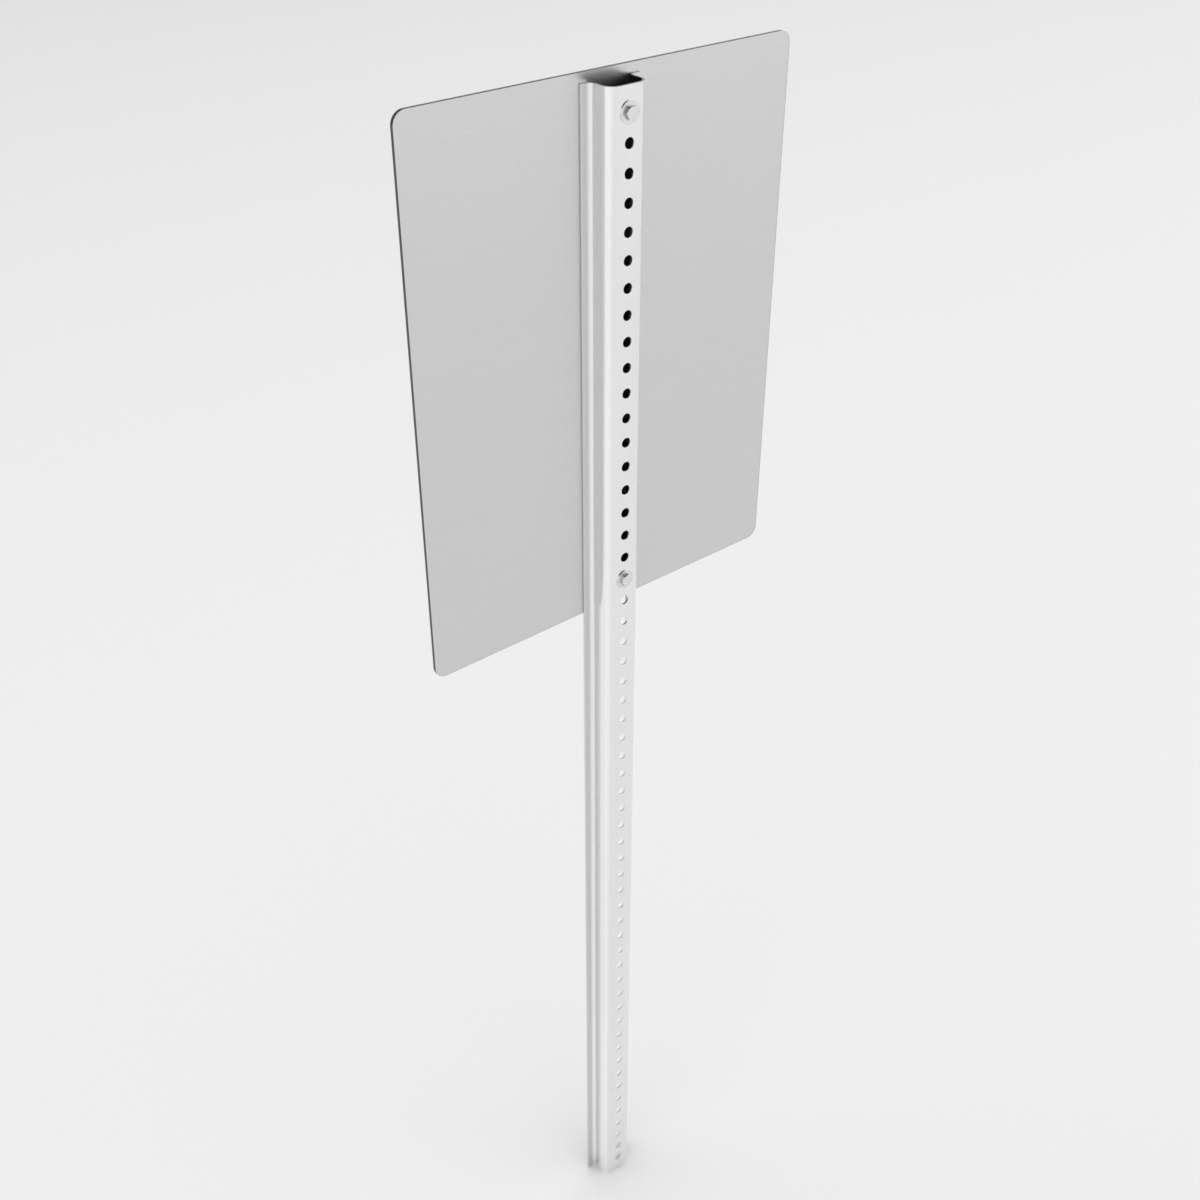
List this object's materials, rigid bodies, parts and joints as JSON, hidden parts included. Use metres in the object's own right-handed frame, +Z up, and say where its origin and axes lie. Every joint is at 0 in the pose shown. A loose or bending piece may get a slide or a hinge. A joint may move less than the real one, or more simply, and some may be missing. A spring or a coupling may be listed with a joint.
{
  "type": "signpost with sign",
  "caption": "Flanged U-channel steel post with a row of holes down its web and a rounded rectangular aluminium sign bolted across its flanges.",
  "frame": {"origin": "middle of the web's sheet at the post's foot, on the cut end", "axes": "+Z up the post, +Y from the sign's back through the channel to the bolt heads, so the sign faces -Y; +X to the left of somebody facing the bolt heads"},
  "size_m": [0.42, 0.0478, 1.4518],
  "materials": {
    "galvanised_post": "smooth bright galvanised, faint fine spangle",
    "sign_blank": "satin mill-finish sheet, very fine rolling grain",
    "white_film": "retroreflective sheeting, smooth gloss",
    "border_film": "applied black film, smooth gloss",
    "zinc_fasteners": "bright zinc plate",
    "nylon": "natural nylon"
  },
  "bodies": {
    "root": {"u_channel_post": "galvanised_post", "sign_blank": "sign_blank", "face_sheeting": "white_film", "border_film": "border_film", "hex_bolt_upper": "zinc_fasteners", "rear_washer_upper": "zinc_fasteners", "nylon_washer_upper": "nylon", "face_washer_upper": "zinc_fasteners", "lock_washer_upper": "zinc_fasteners", "hex_nut_upper": "zinc_fasteners", "hex_bolt_lower": "zinc_fasteners", "rear_washer_lower": "zinc_fasteners", "nylon_washer_lower": "nylon", "face_washer_lower": "zinc_fasteners", "lock_washer_lower": "zinc_fasteners", "hex_nut_lower": "zinc_fasteners"}
  },
  "joints": []
}
